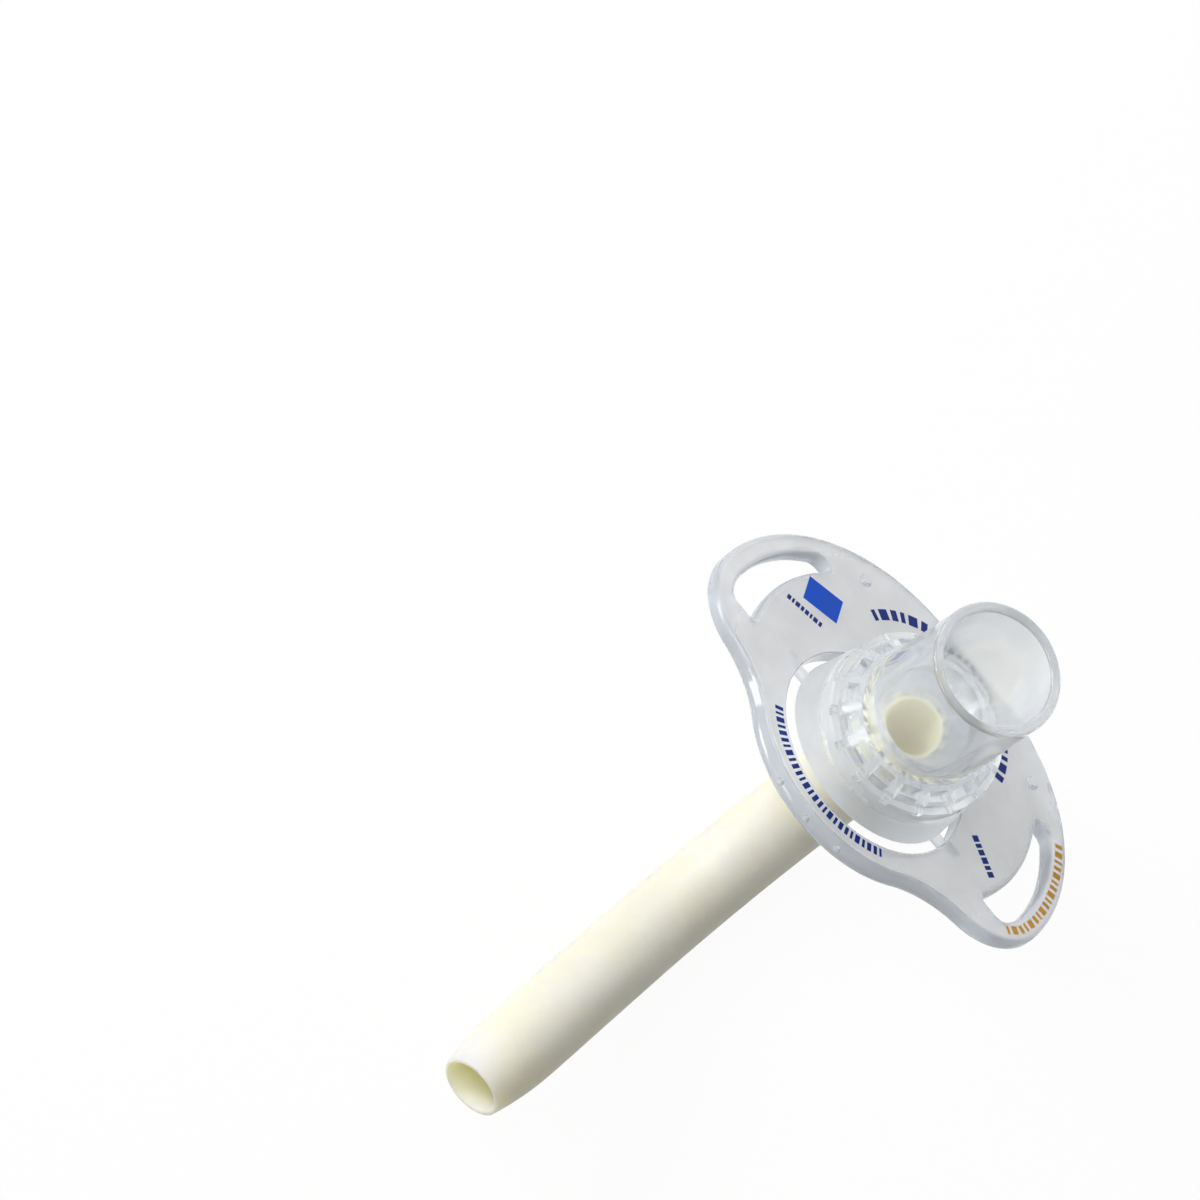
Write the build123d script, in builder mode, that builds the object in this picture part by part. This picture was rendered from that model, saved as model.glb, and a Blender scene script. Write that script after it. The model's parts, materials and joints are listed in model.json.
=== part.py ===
from build123d import *
from math import asin, atan2, cos, hypot, radians, sin, sqrt
import os

os.makedirs("parts", exist_ok=True)

# A cuffless tracheostomy tube, lying as it comes to rest on a table: on the outside of the tube's bend
# and on the upper edge of the neck flange. Millimetres, +Z up, origin under the middle of its box.
# The datum is where the connector's axis meets the front face of the flange.

# Curved tube
tube_od = 9.4
tube_id = 6.5
lead = 1.0              # straight run behind the flange's front face
bend_radius = 25.2      # of the centre line
bend_angle = 90
tip_straight = 25.9     # from the end of the bend to the open tip
tip_taper = 9.0         # length over which the tip narrows
tip_wall = 0.5          # wall left at the tip's edge
tip_round = 0.2
tube_top = 9.8          # how far the tube reaches up into the hub

# Neck flange
flange_rake = 20        # degrees that the flange leans back from square to the connector
flange_thick = 2.2
flange_reach = 27.0     # half the width, at the ears
crown_height = 25.2     # straight upper edge, above the datum
ear_level = 2.4         # where the ear's straight side ends below
ear_straight = 0.6      # straight side of the ear
ear_radius = 8.9
flank_radius = 14.5     # hollow between ear and lower edge
bulge_radius = 16.0
bulge_low = 17.5        # lower edge at the back face
bulge_bevel = 2.5       # the lower edge slopes in by this much towards the front face
edge_round = 0.8
hole_gap = 1.1          # open crescent between hub and flange
hole_edge = 0.3         # rounding of the opening's rims

# Tape slots through the ears
loop_width = 2.8        # bar left between slot and edge
slot_width = 3.5
slot_centre = 5.0       # height of the centre of the slot's inner arc
slot_offset = 4.8       # and how far that centre lies inside the shoulder's
slot_below = 3.8        # lower end, below the ear's straight side
slot_above = 10.0       # upper end, below the flange's upper edge
slot_round = 1.6        # outer corners of the slot
slot_tip = 0.35         # inner corners
slot_edge = 0.9         # rounding of its rims

# Pivots between hub and flange
pin_diameter = 1.3
pin_clearance = 0.05
pin_depth = 2.0         # how far a pin enters the flange

# Small moulded marks on the flange
boss_radius = 0.9       # two round ones on the upper corners
boss_height = 0.35
boss_taper = 40         # degrees
boss_inset = 3.6        # in from the shoulder
boss_angle = 58         # degrees round the shoulder
dome_radius = 0.45      # three domes on the sloping lower edge
dome_pitch = 4.75
dome_level = 0.9        # behind the front face

# Hub
rim_radius = 11.36      # sharp edge, in the plane of the flange's front face
back_radius = 8.4       # the hub narrows to this at the flange's back face
collar_radius = 10.4
hub_height = 9.4        # to the foot of the castellated wall
collar_wall = 0.75
castle_height = 0.8
castle_count = 16
notch_width = 0.9
notch_reach = 1.5       # inwards, right through the castellated wall
socket_depth = 1.8      # how far the connector sinks below the castellated wall
fit_gap = 0.05          # glued and snapped joints

# Connector with a 15 mm male cone
mouth_radius = 7.6
mouth_bore = 6.43
mouth_height = 28.8
cone_slope = 1 / 80     # on the radius
foot_height = 12.3      # where the cone starts above the skirt
skirt_top = 11.0
step_radius = 7.9
ledge_height = 14.1
ledge_width = 0.6
throat_radius = 3.6
rim_round = 0.35
window_long = 2.2
window_wide = 1.0
window_deep = 1.2
key_gap = 0.1           # round the keys in the castellated wall
key_root = 0.3          # how deep a key is rooted in the skirt

# Worked out from the above
tube_r = tube_od / 2
bore_r = tube_id / 2
tip_r = bore_r + tip_wall
rake = radians(flange_rake)
turn = radians(bend_angle)
shoulder_radius = crown_height - ear_level - ear_straight
crown_half = flange_reach - shoulder_radius
slot_shift = crown_half - slot_offset
slot_inner = flange_reach - loop_width - slot_width - slot_shift
slot_low = ear_level - slot_below
slot_high = crown_height - slot_above
boss_turn = radians(boss_angle)
boss_x = crown_half + (shoulder_radius - boss_inset) * cos(boss_turn)
boss_y = crown_height - shoulder_radius + (shoulder_radius - boss_inset) * sin(boss_turn)
hole_radius = rim_radius + hole_gap
dome_reach = bulge_radius - bulge_low + bulge_bevel * (1 - dome_level / flange_thick)
dome_y = dome_reach - sqrt(bulge_radius**2 - dome_pitch**2)
dome_middle = dome_reach - bulge_radius
pin_r = pin_diameter / 2
socket_radius = collar_radius - collar_wall
socket_floor = hub_height - socket_depth
skirt_radius = socket_radius - fit_gap

# Lean of the connector's axis when tube and flange both touch the table
reach = crown_height - edge_round
depth = flange_thick - edge_round
across = bend_radius + reach * cos(rake) - depth * sin(rake)
along = reach * sin(rake) + depth * cos(rake) - lead
lean = asin((bend_radius + tube_r - edge_round) / hypot(across, along)) - atan2(along, across)
lift = bend_radius + tube_r + lead * cos(lean) - bend_radius * sin(lean)

# Centre line of the tube in the side plane: y towards the upper edge, z towards the mouth
bend_y = -bend_radius * (1 - cos(turn))
bend_z = -lead - bend_radius * sin(turn)
taper_y = bend_y - (tip_straight - tip_taper) * sin(turn)
taper_z = bend_z - (tip_straight - tip_taper) * cos(turn)
tip_y = bend_y - (tip_straight - tip_round) * sin(turn)
tip_z = bend_z - (tip_straight - tip_round) * cos(turn)

# The box reaches from the tip's rim to the mouth's rim
front_y = (mouth_radius - rim_round) * cos(lean) + (mouth_height - rim_round) * sin(lean) + rim_round
back_y = tip_y * cos(lean) + tip_z * sin(lean) - (tip_r - tip_round) * abs(cos(turn + lean)) - tip_round
datum = Vector(0, -(front_y + back_y) / 2, lift)

device = Plane(origin=datum, x_dir=(1, 0, 0), z_dir=(0, sin(lean), cos(lean)))
plate = Plane(origin=datum, x_dir=(1, 0, 0), z_dir=(0, sin(lean + rake), cos(lean + rake)))
side = Plane(origin=datum, x_dir=device.y_dir, z_dir=(1, 0, 0))
middle = plate.offset(-flange_thick / 2)
pivot = Plane(origin=middle.origin, x_dir=plate.y_dir, z_dir=(1, 0, 0))
axis = Axis(datum, device.z_dir)
tip_run = -device.y_dir * sin(turn) - device.z_dir * cos(turn)
taper_start = datum + device.y_dir * taper_y + device.z_dir * taper_z
tip = Plane(origin=taper_start, x_dir=tip_run, z_dir=(1, 0, 0))


def tube_run():
    # straight lead, one round bend and the straight part before the tip
    Line((0, tube_top), (0, -lead))
    CenterArc((-bend_radius, -lead), bend_radius, 0, -bend_angle)
    Line((bend_y, bend_z), (taper_y, taper_z))


def flange_outline(low):
    # right half in tangent arcs from the crown round the ear to the lower edge, then its mirror image
    ear = Vector(flange_reach - ear_radius, ear_level)
    bulge = Vector(0, bulge_radius - low)
    span = ear - bulge
    near = ear_radius + flank_radius
    far = bulge_radius + flank_radius
    run = (far**2 - near**2 + span.length**2) / (2 * span.length)
    drop = sqrt(far**2 - run**2)
    unit = span.normalized()
    flank = bulge + unit * run + Vector(unit.Y, -unit.X) * drop
    from_ear = (flank - ear).normalized()
    from_bulge = (flank - bulge).normalized()
    flank_start = ear + from_ear * ear_radius
    flank_end = bulge + from_bulge * bulge_radius
    shoulder = (crown_half, crown_height)
    ear_top = (flange_reach, ear_level + ear_straight)
    ear_side = (flange_reach, ear_level)
    Line((0, crown_height), shoulder)
    TangentArc(shoulder, ear_top, tangent=(1, 0))
    Line(ear_top, ear_side)
    TangentArc(ear_side, flank_start, tangent=(0, -1))
    TangentArc(flank_start, flank_end, tangent=(from_ear.Y, -from_ear.X))
    TangentArc(flank_end, (0, -low), tangent=(from_bulge.Y, -from_bulge.X))
    mirror(about=Plane.YZ)


# Ivory tube with its rounded tip
with BuildPart() as outer_cannula:
    with BuildLine(side) as cannula_run:
        tube_run()
    with BuildSketch(device.offset(tube_top)):
        Circle(tube_r)
        Circle(bore_r, mode=Mode.SUBTRACT)
    sweep(path=cannula_run.line)
    with BuildSketch(tip) as tip_wall_shape:
        with BuildLine():
            Line((0, bore_r), (0, tube_r))
            Bezier((0, tube_r), (tip_taper / 2, tube_r), (tip_taper, tip_r))
            Line((tip_taper, tip_r), (tip_taper, bore_r))
            Line((tip_taper, bore_r), (0, bore_r))
        make_face()
        fillet(tip_wall_shape.vertices().group_by(Axis.X)[-1], tip_round)
    revolve(axis=Axis(taper_start, tip_run))

# Clear hub: a rim in the flange's plane, undercut behind, rising to a round castellated collar
with BuildPart() as hub:
    with BuildSketch(plate.offset(-flange_thick)):
        Circle(back_radius)
    with BuildSketch(plate):
        Circle(rim_radius)
    loft()
    with BuildSketch(plate):
        Circle(rim_radius)
    with BuildSketch(device.offset(hub_height)):
        Circle(collar_radius)
    loft()
    with BuildSketch(pivot):
        Circle(pin_r)
    extrude(amount=hole_radius + pin_depth, both=True)
    with BuildSketch(device.offset(hub_height)):
        Circle(collar_radius)
        with PolarLocations(collar_radius, castle_count):
            Rectangle(2 * notch_reach, notch_width, mode=Mode.SUBTRACT)
    extrude(amount=castle_height)
    with BuildSketch(device.offset(socket_floor)):
        Circle(socket_radius)
    extrude(amount=socket_depth + castle_height, mode=Mode.SUBTRACT)
    with BuildLine(side) as hub_run:
        tube_run()
    with BuildSketch(device.offset(tube_top)):
        Circle(tube_r + fit_gap)
    sweep(path=hub_run.line, mode=Mode.SUBTRACT)

# Clear connector: 15 mm cone, windowed shoulder, keyed skirt and a seat for the tube
with BuildPart() as connector:
    with BuildSketch(side):
        with BuildLine():
            Polyline(
                (tube_r + fit_gap, socket_floor),
                (skirt_radius, socket_floor),
                (skirt_radius, skirt_top),
                (step_radius, foot_height),
                (mouth_radius + cone_slope * (mouth_height - foot_height), foot_height),
                (mouth_radius, mouth_height),
                (mouth_bore, mouth_height),
                (mouth_bore, ledge_height),
                (mouth_bore - ledge_width, ledge_height),
                (throat_radius, tube_top),
                (tube_r + fit_gap, tube_top),
                close=True,
            )
        make_face()
    revolve(axis=axis)
    rim = connector.edges().filter_by(GeomType.CIRCLE).group_by(axis)[-1]
    fillet(rim, rim_round)
    window_at = (skirt_radius + step_radius) / 2
    half_pitch = 180 / castle_count
    with BuildSketch(device.offset(skirt_top - window_deep)):
        with PolarLocations(window_at, castle_count, start_angle=half_pitch):
            Rectangle(window_wide, window_long)
    extrude(amount=foot_height - skirt_top + window_deep, mode=Mode.SUBTRACT)
    key_length = collar_radius - skirt_radius + key_root
    with BuildSketch(device.offset(hub_height + key_gap)):
        with PolarLocations(collar_radius - key_length / 2, castle_count):
            Rectangle(key_length, notch_width - 2 * key_gap)
    extrude(amount=castle_height - key_gap)

# Clear neck flange with its crescent opening, tape slots, pin holes and small moulded marks
with BuildPart() as neck_flange:
    with BuildSketch(plate.offset(-flange_thick)):
        with BuildLine():
            flange_outline(bulge_low)
        make_face()
    with BuildSketch(plate):
        with BuildLine():
            flange_outline(bulge_low - bulge_bevel)
        make_face()
    loft()
    faces = neck_flange.faces().filter_by(plate)
    fillet(faces.edges(), edge_round)
    with BuildSketch(plate):
        with Locations((boss_x, boss_y), (-boss_x, boss_y)):
            Circle(boss_radius)
    extrude(amount=boss_height, taper=boss_taper)
    with BuildSketch(plate):
        Circle(hole_radius)
    extrude(amount=-flange_thick, mode=Mode.SUBTRACT)
    opening = neck_flange.edges(Select.LAST).filter_by(plate)
    fillet(opening, hole_edge)
    with BuildSketch(plate) as slots:
        with BuildLine():
            flange_outline(bulge_low)
        make_face()
        offset(amount=-loop_width, mode=Mode.REPLACE)
        with Locations((slot_shift, slot_centre)):
            Circle(slot_inner, mode=Mode.SUBTRACT)
        with Locations((flange_reach / 2, (slot_high + slot_low) / 2)):
            Rectangle(flange_reach, slot_high - slot_low, mode=Mode.INTERSECT)
        inner, outer = 0, -1
        for corner, radius in ((inner, slot_tip), (outer, slot_round)):
            rows = slots.vertices().group_by(Axis.Y)
            fillet([row.sort_by(Axis.X)[corner] for row in (rows[0], rows[-1])], radius)
        mirror(about=Plane.YZ)
    extrude(amount=-flange_thick, mode=Mode.SUBTRACT)
    rims = neck_flange.edges(Select.LAST).filter_by(plate)
    fillet(rims, slot_edge)
    with BuildSketch(pivot):
        Circle(pin_r + pin_clearance)
    extrude(amount=hole_radius + pin_depth + pin_clearance, both=True, mode=Mode.SUBTRACT)
    dome_plane = plate.offset(-dome_level)
    dome_spots = [(-dome_pitch, dome_y), (0, dome_middle), (dome_pitch, dome_y)]
    with Locations(*[dome_plane.from_local_coords(spot) for spot in dome_spots]):
        Sphere(dome_radius)

outer_cannula.part.label = "outer_cannula"
export_step(outer_cannula.part, "parts/outer_cannula.step")
hub.part.label = "hub"
export_step(hub.part, "parts/hub.step")
connector.part.label = "connector"
export_step(connector.part, "parts/connector.step")
neck_flange.part.label = "neck_flange"
export_step(neck_flange.part, "parts/neck_flange.step")
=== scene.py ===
import itertools
import json
import math

import bmesh
import bpy
from mathutils import Matrix, Vector


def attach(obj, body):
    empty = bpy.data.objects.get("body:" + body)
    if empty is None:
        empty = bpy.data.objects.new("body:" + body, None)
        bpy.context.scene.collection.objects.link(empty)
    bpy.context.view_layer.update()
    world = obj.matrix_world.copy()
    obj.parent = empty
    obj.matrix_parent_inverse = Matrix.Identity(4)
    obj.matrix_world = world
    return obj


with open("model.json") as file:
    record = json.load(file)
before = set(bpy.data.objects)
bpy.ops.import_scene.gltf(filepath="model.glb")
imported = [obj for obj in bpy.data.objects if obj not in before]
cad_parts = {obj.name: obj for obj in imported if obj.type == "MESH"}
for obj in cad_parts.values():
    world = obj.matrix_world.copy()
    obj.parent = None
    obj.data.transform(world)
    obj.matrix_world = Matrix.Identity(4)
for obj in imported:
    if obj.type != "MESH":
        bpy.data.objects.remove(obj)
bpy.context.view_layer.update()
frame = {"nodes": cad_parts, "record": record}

nodes = frame["nodes"]
record = frame["record"]
mounts = {mount["name"]: mount for mount in record["mounts"]}
mm = 0.001


def srgb(r, g, b):
    # screen colour, 0 to 255, to the linear values that shaders take
    def one(v):
        v /= 255
        return v / 12.92 if v <= 0.04045 else ((v + 0.055) / 1.055) ** 2.4
    return (one(r), one(g), one(b), 1.0)


# The flange's front face, from the pivot's place and the way that the tape slots face
plateThick = 2.2  # millimetres, with the pivot half way through
pivotAt = Vector(record["behaviour"]["joints"][0]["pos_m"])
plateNormal = Vector(mounts["tape_slot_right"]["axis"])
plateLean = math.atan2(plateNormal.y, plateNormal.z)
plateMiddle = pivotAt + plateNormal * (plateThick / 2 * mm)
plateMatrix = Matrix.Translation(plateMiddle) @ Matrix.Rotation(-plateLean, 4, "X")


def onPlate(x, y, z=0.0):
    # millimetres on the front face to the part's frame
    return plateMatrix @ Vector((x * mm, y * mm, z * mm))


# The connector's axis, which starts in the middle of the front face
airwayAxis = Vector(mounts["connector_socket"]["axis"])


# Helpers that place one shader node each and return its result
def feed(tree, value, socket):
    # links another node's result, or sets a plain value
    if isinstance(value, bpy.types.NodeSocket):
        tree.links.new(value, socket)
    else:
        socket.default_value = value


def mathNode(tree, operation, a, b=None, clamp=False):
    node = tree.nodes.new("ShaderNodeMath")
    node.operation = operation
    node.use_clamp = clamp
    feed(tree, a, node.inputs[0])
    if b is not None:
        feed(tree, b, node.inputs[1])
    return node.outputs["Value"]


def vectorNode(tree, operation, result, a, b=None):
    node = tree.nodes.new("ShaderNodeVectorMath")
    node.operation = operation
    feed(tree, a, node.inputs[0])
    if b is not None:
        feed(tree, b, node.inputs[1])
    return node.outputs[result]


def rangeNode(tree, value, fromLow, fromHigh, toLow, toHigh):
    node = tree.nodes.new("ShaderNodeMapRange")
    node.interpolation_type = "SMOOTHSTEP"
    feed(tree, value, node.inputs["Value"])
    feed(tree, fromLow, node.inputs["From Min"])
    feed(tree, fromHigh, node.inputs["From Max"])
    feed(tree, toLow, node.inputs["To Min"])
    feed(tree, toHigh, node.inputs["To Max"])
    return node.outputs["Result"]


# numbers of the Mix node's first, second and result sockets for each kind of value
mixSockets = {"FLOAT": (2, 3, 0), "RGBA": (6, 7, 2)}


def mixNode(tree, kind, mask, first, second):
    node = tree.nodes.new("ShaderNodeMix")
    node.data_type = kind
    firstAt, secondAt, resultAt = mixSockets[kind]
    feed(tree, mask, node.inputs["Factor"])
    feed(tree, first, node.inputs[firstAt])
    feed(tree, second, node.inputs[secondAt])
    return node.outputs[resultAt]


def mixShader(tree, mask, first, second):
    node = tree.nodes.new("ShaderNodeMixShader")
    feed(tree, mask, node.inputs["Fac"])
    feed(tree, first, node.inputs[1])
    feed(tree, second, node.inputs[2])
    return node.outputs["Shader"]


def seeThrough(tree, colour):
    node = tree.nodes.new("ShaderNodeBsdfTransparent")
    feed(tree, colour, node.inputs["Color"])
    return node.outputs["BSDF"]


def seenRays(tree):
    # 1 for what is looked at, straight on, mirrored or through clear plastic
    rays = tree.nodes.new("ShaderNodeLightPath")
    seen = mathNode(tree, "ADD", rays.outputs["Is Camera Ray"], rays.outputs["Is Glossy Ray"])
    return mathNode(tree, "ADD", seen, rays.outputs["Is Transmission Ray"], clamp=True)


def toward(tree, mask, value, socket):
    # leads what feeds a socket over to another value with the mask
    kind = "RGBA" if socket.type == "RGBA" else "FLOAT"
    feed(tree, mixNode(tree, kind, mask, socket.links[0].from_socket, value), socket)


# Skin of moulded plastic that all the materials share: a roughness between two limits,
# a soft cloudy mask for the colour and a fine relief
skinNoise = {"cloudDetail": 4, "grainDetail": 2, "cloudRange": (0.3, 0.7)}
skinInputs = ("Cloud Scale", "Grain Scale", "Smooth", "Dull")


def makeMouldedSkin():
    group = bpy.data.node_groups.new("mouldedSkin", "ShaderNodeTree")
    group.interface.new_socket(name="Vector", in_out="INPUT", socket_type="NodeSocketVector")
    for label in skinInputs:
        group.interface.new_socket(name=label, in_out="INPUT", socket_type="NodeSocketFloat")
    for label in ("Roughness", "Cloud", "Height"):
        group.interface.new_socket(name=label, in_out="OUTPUT", socket_type="NodeSocketFloat")
    source = group.nodes.new("NodeGroupInput").outputs
    sink = group.nodes.new("NodeGroupOutput").inputs
    cloud = group.nodes.new("ShaderNodeTexNoise")
    grain = group.nodes.new("ShaderNodeTexNoise")
    for noise, scale, detail in ((cloud, "Cloud Scale", skinNoise["cloudDetail"]),
                                 (grain, "Grain Scale", skinNoise["grainDetail"])):
        feed(group, source["Vector"], noise.inputs["Vector"])
        feed(group, source[scale], noise.inputs["Scale"])
        feed(group, detail, noise.inputs["Detail"])
    low, high = skinNoise["cloudRange"]
    rough = rangeNode(group, cloud.outputs["Fac"], low, high, source["Smooth"], source["Dull"])
    feed(group, rough, sink["Roughness"])
    feed(group, rangeNode(group, cloud.outputs["Fac"], low, high, 0.0, 1.0), sink["Cloud"])
    feed(group, grain.outputs["Fac"], sink["Height"])
    return group


mouldedSkin = makeMouldedSkin()
print("shared node groups ready")


def startMaterial(name, spec):
    # a Principled shader with the shared skin on its colour, roughness and relief
    material = bpy.data.materials.new(name)
    material.use_nodes = True
    tree = material.node_tree
    shader = tree.nodes["Principled BSDF"]
    coords = tree.nodes.new("ShaderNodeTexCoord")
    skin = tree.nodes.new("ShaderNodeGroup")
    skin.node_tree = mouldedSkin
    feed(tree, coords.outputs["Object"], skin.inputs["Vector"])
    for label in skinInputs:
        feed(tree, spec["skin"][label], skin.inputs[label])
    bump = tree.nodes.new("ShaderNodeBump")
    feed(tree, spec["skin"]["relief"], bump.inputs["Strength"])
    feed(tree, spec["skin"]["depth"], bump.inputs["Distance"])
    feed(tree, skin.outputs["Height"], bump.inputs["Height"])
    feed(tree, bump.outputs["Normal"], shader.inputs["Normal"])
    feed(tree, skin.outputs["Roughness"], shader.inputs["Roughness"])
    colour = mixNode(tree, "RGBA", skin.outputs["Cloud"], spec["deep"], spec["pale"])
    feed(tree, colour, shader.inputs["Base Color"])
    return material, tree, shader, coords


def dress(name, material):
    data = nodes[name].data
    data.materials.clear()
    data.materials.append(material)


# Ivory tube
ivory = {
    "deep": srgb(231, 225, 204), "pale": srgb(240, 236, 218),
    "skin": {"Cloud Scale": 90.0, "Grain Scale": 2600.0, "Smooth": 0.40, "Dull": 0.50,
             "relief": 0.08, "depth": 0.00005},
    "ior": 1.53, "sheen": 0.45,
    # light that spreads inside the wall: share, reach in red, green and blue, and metres
    "glow": 0.85, "glowReach": (1.0, 0.93, 0.34), "glowScale": 0.0050,
    # painted light: a paler, warmer colour inside the bore near both ends stands in for light that comes
    # through the wall and bounces inside; radius and depth in millimetres
    "boreRadius": (3.4, 3.7),
    "paintedBoreLight": {"tip_bore": {"depth": 16.0, "colour": srgb(250, 243, 218)},
              "airway_inlet": {"depth": 9.0, "colour": srgb(253, 239, 194)}},
}


def insideBore(tree, coords, mount, depth):
    # 1 close to the axis of a mount and no deeper than the depth, 0 elsewhere
    axis = Vector(mount["axis"]) / mm
    offset = vectorNode(tree, "SUBTRACT", "Vector", coords.outputs["Object"], mount["pos_m"])
    across = vectorNode(tree, "CROSS_PRODUCT", "Vector", offset, axis)
    away = vectorNode(tree, "LENGTH", "Value", across)
    along = vectorNode(tree, "DOT_PRODUCT", "Value", offset, axis)
    near = rangeNode(tree, away, *ivory["boreRadius"], 1.0, 0.0)
    return mathNode(tree, "MULTIPLY", near, mathNode(tree, "GREATER_THAN", along, -depth))


def makeIvory():
    material, tree, shader, coords = startMaterial("ivoryTube", ivory)
    # painted light: the inside of each bore is painted paler and warmer than the tube
    for name, boreLight in ivory["paintedBoreLight"].items():
        inside = insideBore(tree, coords, mounts[name], boreLight["depth"])
        toward(tree, inside, boreLight["colour"], shader.inputs["Base Color"])
    shader.inputs["IOR"].default_value = ivory["ior"]
    shader.inputs["Specular IOR Level"].default_value = ivory["sheen"]
    shader.inputs["Subsurface Weight"].default_value = ivory["glow"]
    shader.inputs["Subsurface Radius"].default_value = ivory["glowReach"]
    shader.inputs["Subsurface Scale"].default_value = ivory["glowScale"]
    return material


dress("outer_cannula", makeIvory())
print("tube dressed")

# Clear connector
clearConnector = {
    "deep": srgb(220, 223, 226), "pale": srgb(232, 234, 236),
    "skin": {"Cloud Scale": 160.0, "Grain Scale": 900.0, "Smooth": 0.05, "Dull": 0.12,
             "relief": 0.04, "depth": 0.00005},
    "clearness": 0.84, "ior": 1.38, "shade": (0.92, 0.925, 0.93, 1.0),
}
# bounces inside a wall after which light goes straight on, and what each wall then lets through
wallLimit = {"bounces": 4.5, "through": (0.90, 0.91, 0.92, 1.0)}


def makeClear(name, spec):
    material, tree, shader, coords = startMaterial(name, spec)
    shader.inputs["Transmission Weight"].default_value = spec["clearness"]
    shader.inputs["IOR"].default_value = spec["ior"]
    rays = tree.nodes.new("ShaderNodeLightPath").outputs
    # lamps shine through to what lies inside and below
    lit = mixShader(tree, rays["Is Shadow Ray"], shader.outputs["BSDF"], seeThrough(tree, spec["shade"]))
    # light that has bounced often between the walls goes straight on
    late = mathNode(tree, "GREATER_THAN", rays["Ray Depth"], wallLimit["bounces"])
    surface = mixShader(tree, late, lit, seeThrough(tree, wallLimit["through"]))
    feed(tree, surface, tree.nodes["Material Output"].inputs["Surface"])
    return material, tree, shader, coords


dress("connector", makeClear("clearConnector", clearConnector)[0])
print("connector dressed")

# Hub: hazy dome that turns clear at the collar, heights above the flange's face in millimetres
hazyHub = {
    "deep": srgb(218, 220, 222), "pale": srgb(230, 232, 234),
    "skin": {"Cloud Scale": 200.0, "Grain Scale": 2500.0, "Smooth": 0.46, "Dull": 0.58,
             "relief": 0.05, "depth": 0.00004},
    "clearness": 0.72, "ior": 1.40, "shade": (0.90, 0.905, 0.91, 1.0),
    # the collar colour is painted light: a paler collar that renders brighter, standing in for the light
    # that it catches
    "hazyTo": 6.6, "clearFrom": 8.2, "collarRoughness": 0.08, "collar": srgb(238, 240, 242),
}


def makeHub():
    material, tree, shader, coords = makeClear("hazyHub", hazyHub)
    along = vectorNode(tree, "DOT_PRODUCT", "Value", coords.outputs["Object"], airwayAxis / mm)
    height = mathNode(tree, "SUBTRACT", along, onPlate(0, 0).dot(airwayAxis) / mm)
    collar = rangeNode(tree, height, hazyHub["hazyTo"], hazyHub["clearFrom"], 0.0, 1.0)
    toward(tree, collar, hazyHub["collarRoughness"], shader.inputs["Roughness"])
    # painted light: the collar is painted paler so that it renders brighter
    toward(tree, collar, hazyHub["collar"], shader.inputs["Base Color"])
    return material


dress("hub", makeHub())
print("hub dressed")

# Neck flange: frosted panel, glossier loops round the tape slots and glossier edges
frostedFlange = {
    "deep": srgb(218, 219, 221), "pale": srgb(230, 231, 233),
    "skin": {"Cloud Scale": 220.0, "Grain Scale": 5000.0, "Smooth": 0.38, "Dull": 0.48,
             "relief": 0.10, "depth": 0.00004},
    "clearness": 0.66, "ior": 1.45, "shade": (0.84, 0.85, 0.86, 1.0), "gloss": 0.10,
    # where the loops begin: height of the circle's centre, its radius and how soft, in millimetres
    "loopCentre": 5.0, "loopMiddle": 22.8, "loopSoft": 3.0,
    # how squarely a face looks along the plate's normal, from wall to panel; the wall colour is painted
    # reflection and shade, darker and bluer
    "squareness": (0.85, 0.98), "paintedWallReflection": srgb(204, 209, 216),
}


def makeFlange():
    spec = frostedFlange
    material, tree, shader, coords = makeClear("frostedFlange", spec)
    # millimetres on the front face
    place = tree.nodes.new("ShaderNodeMapping")
    place.vector_type = "TEXTURE"
    feed(tree, onPlate(0, spec["loopCentre"]), place.inputs["Location"])
    feed(tree, (-plateLean, 0, 0), place.inputs["Rotation"])
    feed(tree, (mm, mm, mm), place.inputs["Scale"])
    feed(tree, coords.outputs["Object"], place.inputs["Vector"])
    split = tree.nodes.new("ShaderNodeSeparateXYZ")
    feed(tree, place.outputs["Vector"], split.inputs["Vector"])
    across, upward = (mathNode(tree, "MULTIPLY", split.outputs[axis], split.outputs[axis]) for axis in "XY")
    distance = mathNode(tree, "SQRT", mathNode(tree, "ADD", across, upward))
    middle, soft = spec["loopMiddle"], spec["loopSoft"]
    loop = rangeNode(tree, distance, middle - soft, middle + soft, 0.0, 1.0)
    # faces that look along the plate's normal are frosted, the rounded edges and walls are polished
    facing = vectorNode(tree, "DOT_PRODUCT", "Value", coords.outputs["Normal"], plateNormal)
    edge = rangeNode(tree, mathNode(tree, "ABSOLUTE", facing), *spec["squareness"], 1.0, 0.0)
    toward(tree, mathNode(tree, "MAXIMUM", loop, edge), spec["gloss"], shader.inputs["Roughness"])
    # painted reflection and shade: walls and rounded edges are painted darker and bluer, standing in for
    # the cool surroundings that they mirror and refract
    toward(tree, edge, spec["paintedWallReflection"], shader.inputs["Base Color"])
    return material


dress("neck_flange", makeFlange())
print("flange dressed")

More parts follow.
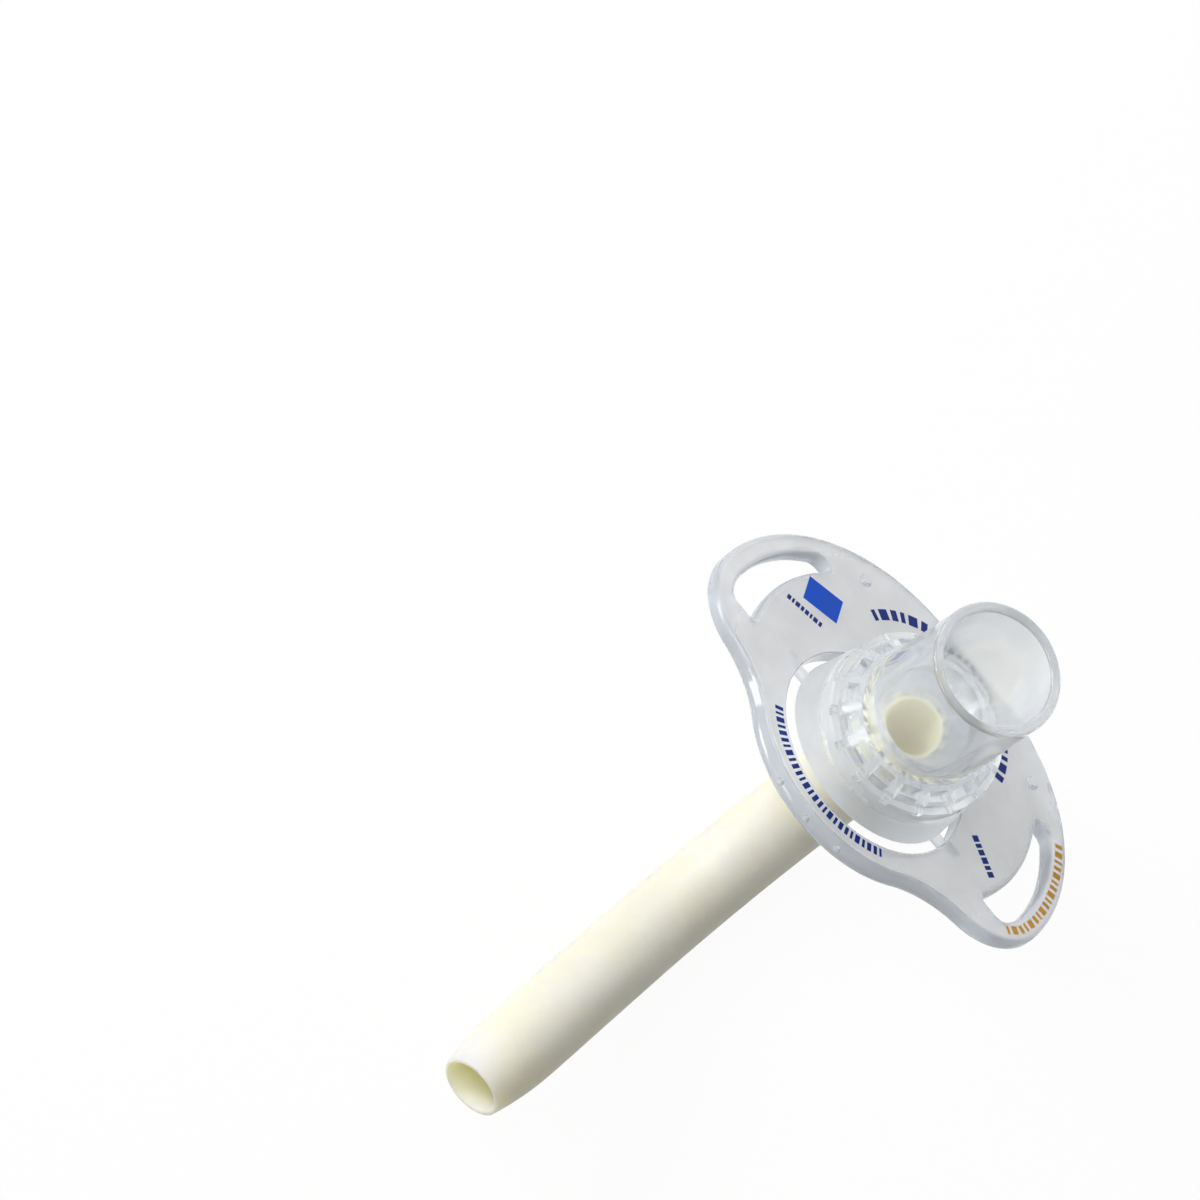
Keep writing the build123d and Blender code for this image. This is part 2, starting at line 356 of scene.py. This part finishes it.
# Plain printed fields on the flange's front face, sizes in millimetres
inkPrint = {
    "lift": 0.01, "thick": 0.03,
    "navy": srgb(14, 40, 116), "blue": srgb(10, 74, 188), "gold": srgb(190, 142, 56),
    "lighten": 1.2, "shine": 0.2,
    "skin": {"Cloud Scale": 700.0, "Grain Scale": 4000.0, "Smooth": 0.45, "Dull": 0.6,
             "relief": 0.05, "depth": 0.00002},
    # rows of dashes on an arc, with its first and last angle, or along points;
    # the dash lengths repeat
    "navyRows": (
        {"centre": (0, 0), "radius": 13.6, "from": -143, "to": -48,
         "height": 1.1, "dashes": (0.45, 0.3, 0.65, 0.35, 0.55), "gap": 0.36},
        {"centre": (0, 11.6), "radius": 11.9, "from": 160, "to": 12,
         "height": 1.4, "dashes": (0.6, 1.3, 0.9), "gap": 0.55},
        {"points": ((14.2, 4.3), (19.3, 1.6)),
         "height": 0.9, "dashes": (0.8, 0.5, 0.7), "gap": 0.25},
        {"points": ((-19.2, 5.75), (-13.6, 7.2)),
         "height": 0.7, "dashes": (0.5, 0.3, 0.6, 0.4), "gap": 0.22},
    ),
    "goldRows": (
        {"points": ((21.7, 15.2), (22.8, 13.4), (23.8, 11.5), (24.6, 9.3), (25.2, 7.0),
                    (25.5, 4.7), (25.6, 2.3), (25.2, -0.2), (23.8, -2.5)),
         "height": 1.0, "dashes": (0.5, 0.8, 0.35), "gap": 0.5},
    ),
    "field": {"middle": (-16.2, 10.3), "width": 4.9, "height": 3.7, "turn": 20},
}
barCorners = ((1, 0), (-1, 0), (-1, 1), (1, 1))  # side and level of a bar's corners, in order


def makeInk(name, colour):
    lighter = tuple(min(1.0, c * inkPrint["lighten"]) for c in colour[:3]) + (1.0,)
    spec = {"deep": colour, "pale": lighter, "skin": inkPrint["skin"]}
    material, _, shader, _ = startMaterial(name, spec)
    shader.inputs["Specular IOR Level"].default_value = inkPrint["shine"]
    return material


def addBar(mesh, start, end, height):
    # a flat bar of ink between two points on the face
    run = (Vector(end) - Vector(start)).normalized()
    side = Vector((-run.y, run.x)) * (height / 2)
    rings = []
    for point in (start, end):
        ring = []
        for sign, level in barCorners:
            x, y = Vector(point) + side * sign
            ring.append(mesh.verts.new(onPlate(x, y, inkPrint["lift"] + level * inkPrint["thick"])))
        rings.append(ring)
    first, second = rings
    for corners in zip(first, first[1:] + first[:1], second[1:] + second[:1], second):
        mesh.faces.new(corners)
    mesh.faces.new(first[::-1])
    mesh.faces.new(second)


def arcPlace(row):
    # the point at a run along the arc, and the arc's length
    turn = math.radians(row["to"] - row["from"])
    sign = 1 if turn > 0 else -1
    start = math.radians(row["from"])
    radius = row["radius"]
    x, y = row["centre"]

    def place(s):
        angle = start + sign * s / radius
        return (x + radius * math.cos(angle), y + radius * math.sin(angle))
    return place, abs(turn) * radius


def linePlace(row):
    # the point at a run along straight stretches, and their length
    stretches = [(Vector(a), Vector(b)) for a, b in zip(row["points"], row["points"][1:])]
    runs = [(b - a).length for a, b in stretches]

    def place(s):
        for (a, b), run in zip(stretches[:-1], runs):
            if s <= run:
                return tuple(a.lerp(b, s / run))
            s -= run
        a, b = stretches[-1]
        return tuple(a.lerp(b, s / runs[-1]))
    return place, sum(runs)


def addDashes(mesh, row):
    place, length = arcPlace(row) if "radius" in row else linePlace(row)
    at = 0.0
    for size in itertools.cycle(row["dashes"]):
        if at + size > length:
            return
        addBar(mesh, place(at), place(at + size), row["height"])
        at += size + row["gap"]


def finishPrint(name, mesh, material):
    bmesh.ops.recalc_face_normals(mesh, faces=mesh.faces)
    data = bpy.data.meshes.new(name)
    mesh.to_mesh(data)
    mesh.free()
    piece = bpy.data.objects.new(name, data)
    bpy.context.scene.collection.objects.link(piece)
    data.materials.append(material)
    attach(piece, "flange")


def makePrint():
    navy, blue, gold = bmesh.new(), bmesh.new(), bmesh.new()
    for row in inkPrint["navyRows"]:
        addDashes(navy, row)
    for row in inkPrint["goldRows"]:
        addDashes(gold, row)
    field = inkPrint["field"]
    turn = math.radians(field["turn"])
    reach = Vector((math.cos(turn), math.sin(turn))) * field["width"] / 2
    middle = Vector(field["middle"])
    addBar(blue, middle - reach, middle + reach, field["height"])
    finishPrint("navy_print", navy, makeInk("navyInk", inkPrint["navy"]))
    finishPrint("blue_field", blue, makeInk("blueInk", inkPrint["blue"]))
    finishPrint("gold_print", gold, makeInk("goldInk", inkPrint["gold"]))


makePrint()
print("print on the flange ready")

# White floor that keeps a soft shadow
floorSpec = {"half": 3.0, "colour": (0.9, 0.9, 0.9, 1.0), "glow": 0.95, "glowColour": (1.0, 1.0, 1.0, 1.0)}


def makeFloor():
    data = bpy.data.meshes.new("floor")
    half = floorSpec["half"]
    corners = [(-half, -half, 0), (half, -half, 0), (half, half, 0), (-half, half, 0)]
    data.from_pydata(corners, [], [(0, 1, 2, 3)])
    floor = bpy.data.objects.new("floor", data)
    bpy.context.scene.collection.objects.link(floor)
    material = bpy.data.materials.new("whiteTable")
    material.use_nodes = True
    tree = material.node_tree
    tree.nodes.remove(tree.nodes["Principled BSDF"])
    diffuse = tree.nodes.new("ShaderNodeBsdfDiffuse")
    diffuse.inputs["Color"].default_value = floorSpec["colour"]
    glow = tree.nodes.new("ShaderNodeEmission")
    glow.inputs["Color"].default_value = floorSpec["glowColour"]
    share = mathNode(tree, "MULTIPLY", seenRays(tree), floorSpec["glow"])
    surface = mixShader(tree, share, diffuse.outputs["BSDF"], glow.outputs["Emission"])
    feed(tree, surface, tree.nodes["Material Output"].inputs["Surface"])
    data.materials.append(material)


makeFloor()

# Soft studio light: dim all round for matt surfaces, and a pale tent with a cool rim
# for what mirrors or looks through
studio = {
    "room": (0.245, 0.237, 0.21, 1.0),
    "zenith": (0.97, 0.97, 0.97, 1.0), "horizon": (0.44, 0.47, 0.53, 1.0), "rise": 0.55,
    "lamps": (
        {"name": "keySoftbox", "at": (-0.29, -0.03, 0.22), "size": 0.14, "watts": 0.86},
        {"name": "frontSoftbox", "at": (-0.30, -0.02, 0.80), "size": 0.30, "watts": 2.3},
        {"name": "fillSoftbox", "at": (-0.20, 0.22, 0.20), "size": 0.14, "watts": 0.12},
    ),
    "aim": (0.0, 0.0, 0.015),
}


def makeLight():
    world = bpy.data.worlds.new("studio")
    bpy.context.scene.world = world
    world.use_nodes = True
    tree = world.node_tree
    room = tree.nodes["Background"]
    room.inputs["Color"].default_value = studio["room"]
    tent = tree.nodes.new("ShaderNodeBackground")
    coords = tree.nodes.new("ShaderNodeTexCoord")
    split = tree.nodes.new("ShaderNodeSeparateXYZ")
    feed(tree, coords.outputs["Generated"], split.inputs["Vector"])
    height = rangeNode(tree, split.outputs["Z"], 0.0, studio["rise"], 0.0, 1.0)
    feed(tree, mixNode(tree, "RGBA", height, studio["horizon"], studio["zenith"]), tent.inputs["Color"])
    surface = mixShader(tree, seenRays(tree), room.outputs["Background"], tent.outputs["Background"])
    feed(tree, surface, tree.nodes["World Output"].inputs["Surface"])
    for spec in studio["lamps"]:
        lamp = bpy.data.lights.new(spec["name"], "AREA")
        lamp.shape = "SQUARE"
        lamp.size = spec["size"]
        lamp.energy = spec["watts"]
        holder = bpy.data.objects.new(spec["name"], lamp)
        holder.location = spec["at"]
        beam = Vector(studio["aim"]) - Vector(spec["at"])
        holder.rotation_euler = beam.to_track_quat("-Z", "Y").to_euler()
        bpy.context.scene.collection.objects.link(holder)
    bpy.context.scene.view_settings.view_transform = "Standard"


makeLight()
print("floor and light ready")

# Camera: a long lens almost straight above
view = {
    "eye": (-0.045577, -0.065137, 0.781204), "aim": (-0.031981, 0.007119, 0.017736),
    "up": (-0.77254, 0.63329, 0.04618),
    "lens": 210.31, "sensor": 36.0, "clipStart": 0.05,
}


def makeCamera():
    data = bpy.data.cameras.new("camera")
    data.lens = view["lens"]
    data.sensor_width = view["sensor"]
    data.clip_start = view["clipStart"]
    camera = bpy.data.objects.new("camera", data)
    back = (Vector(view["eye"]) - Vector(view["aim"])).normalized()
    right = Vector(view["up"]).cross(back).normalized()
    above = back.cross(right)
    turn = Matrix((right, above, back)).transposed().to_4x4()
    camera.matrix_world = Matrix.Translation(view["eye"]) @ turn
    bpy.context.scene.collection.objects.link(camera)
    bpy.context.scene.camera = camera


makeCamera()
print("camera ready")
